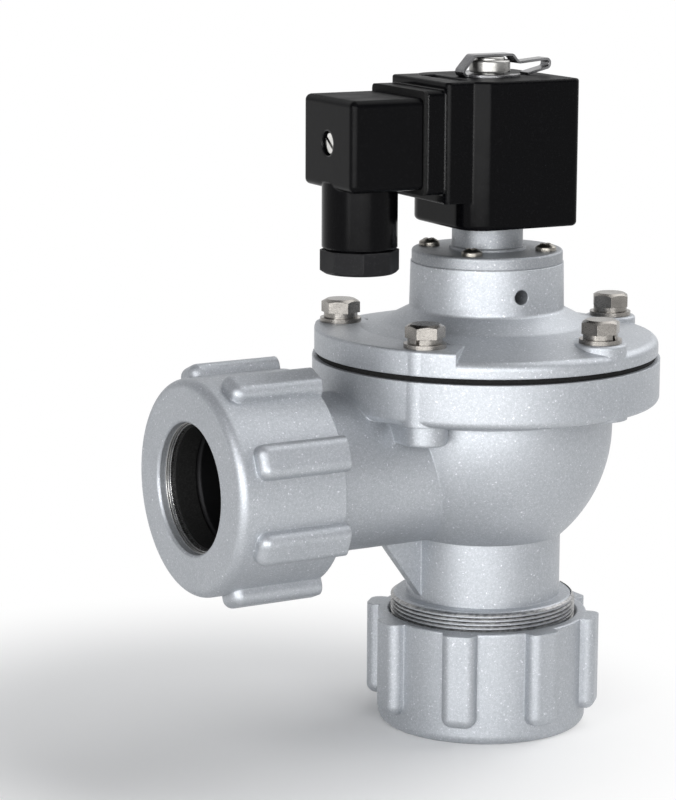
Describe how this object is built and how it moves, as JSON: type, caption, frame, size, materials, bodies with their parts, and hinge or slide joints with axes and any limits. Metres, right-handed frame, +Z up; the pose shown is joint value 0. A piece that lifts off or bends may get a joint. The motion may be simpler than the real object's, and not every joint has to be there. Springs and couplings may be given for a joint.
{
  "type": "dust collector pulse valve",
  "caption": "Right-angle diaphragm pulse valve with ribbed compression nuts, bolted cover, pilot tower and a swivelling coil with a gland plug.",
  "frame": {"origin": "where the outlet's axis meets the mouth face of the outlet nut, on which the valve stands", "axes": "+Z up along the outlet, the seat and the stem; -X out of the inlet; +Y follows by the right-hand rule"},
  "size_m": [0.1475, 0.1004, 0.1952],
  "materials": {
    "casting": "die cast, silver paint with a fine sparkle",
    "stainless": "bright rolled steel",
    "stem_steel": "turned steel",
    "spring_steel": "grey spring steel",
    "plated_screw": "bright plated",
    "rubber": "matte black",
    "coil_plastic": "moulded black, glossy",
    "plug_plastic": "moulded black, glossy",
    "nut_plastic": "moulded dark grey, matte",
    "bobbin_plastic": "moulded, natural",
    "copper": "enamelled copper wire, wound",
    "blade_metal": "tin plated"
  },
  "bodies": {
    "valve": {"valve_body": "casting", "main_diaphragm": "rubber", "main_cover": "casting", "cover_flat_washers": "stainless", "cover_spring_washers": "stainless", "cover_bolts": "stainless", "main_spring": "spring_steel", "pilot_diaphragm": "rubber", "pilot_spring": "spring_steel", "pilot_cap": "casting", "cap_screws": "stainless", "armature_tube": "stem_steel", "fixed_core": "stem_steel", "armature_spring": "spring_steel", "stem_seal": "rubber"},
    "main_piston": {"diaphragm_upper_plate": "stainless", "diaphragm_lower_plate": "stainless", "diaphragm_rivet": "stainless"},
    "pilot_piston": {"pilot_plate": "stainless", "pilot_rivet": "stainless"},
    "plunger": {"armature": "stem_steel", "armature_seal": "rubber"},
    "outlet_rings": {"outlet_washer": "stainless", "outlet_seal": "rubber"},
    "outlet_nut_unit": {"outlet_nut": "casting"},
    "inlet_rings": {"inlet_washer": "stainless", "inlet_seal": "rubber"},
    "inlet_nut_unit": {"inlet_nut": "casting"},
    "coil_unit": {"coil_housing": "coil_plastic", "coil_yoke": "stem_steel", "coil_bobbin": "bobbin_plastic", "coil_winding": "copper", "coil_terminals": "blade_metal", "coil_clip": "spring_steel", "plug_gasket": "rubber", "plug_housing": "plug_plastic", "contact_insert": "nut_plastic", "plug_screw": "plated_screw"},
    "gland_rings": {"gland_grommet": "rubber", "gland_washer": "stainless"},
    "gland_nut_unit": {"gland_nut": "nut_plastic"}
  },
  "joints": [
    {"name": "main_diaphragm_lift", "type": "slide", "parent": "valve", "child": "main_piston", "axis": [0, 0, 1], "range_m": [0, 0.0036], "stiffness_N_per_m": 1400, "springref_m": -0.003, "deforming": ["main_spring", "main_diaphragm"]},
    {"name": "pilot_diaphragm_lift", "type": "slide", "parent": "valve", "child": "pilot_piston", "axis": [0, 0, 1], "range_m": [0, 0.0018], "stiffness_N_per_m": 370, "springref_m": -0.002, "deforming": ["pilot_spring", "pilot_diaphragm"]},
    {"name": "plunger_lift", "type": "slide", "parent": "valve", "child": "plunger", "axis": [0, 0, 1], "range_m": [0, 0.0015], "stiffness_N_per_m": 2200, "springref_m": -0.001, "deforming": ["armature_spring"]},
    {"name": "coil_swivel", "type": "hinge", "parent": "valve", "child": "coil_unit", "pos_m": [0, 0, 0.168], "axis": [0, 0, 1], "continuous": true},
    {"name": "outlet_nut_travel", "type": "slide", "parent": "valve", "child": "outlet_rings", "axis": [0, 0, -1], "range_m": [0, 0.006]},
    {"name": "outlet_nut_turn", "type": "hinge", "parent": "outlet_rings", "child": "outlet_nut_unit", "pos_m": [0, 0, 0], "axis": [0, 0, -1], "range_deg": [0, 1440]},
    {"name": "inlet_nut_travel", "type": "slide", "parent": "valve", "child": "inlet_rings", "axis": [-1, 0, 0], "range_m": [0, 0.006]},
    {"name": "inlet_nut_turn", "type": "hinge", "parent": "inlet_rings", "child": "inlet_nut_unit", "pos_m": [-0.0972, 0, 0.0793], "axis": [-1, 0, 0], "range_deg": [0, 1440]},
    {"name": "gland_nut_travel", "type": "slide", "parent": "coil_unit", "child": "gland_rings", "axis": [0, 0, -1], "range_m": [0, 0.003]},
    {"name": "gland_nut_turn", "type": "hinge", "parent": "gland_rings", "child": "gland_nut_unit", "pos_m": [-0.04144, 0.00217, 0.1352], "axis": [0, 0, -1], "range_deg": [0, 720]}
  ],
  "couplings": [
    {"joint": "outlet_nut_travel", "follows": "outlet_nut_turn", "m_per_rad": 0.00023873},
    {"joint": "inlet_nut_travel", "follows": "inlet_nut_turn", "m_per_rad": 0.00023873},
    {"joint": "gland_nut_travel", "follows": "gland_nut_turn", "m_per_rad": 0.00023873}
  ]
}
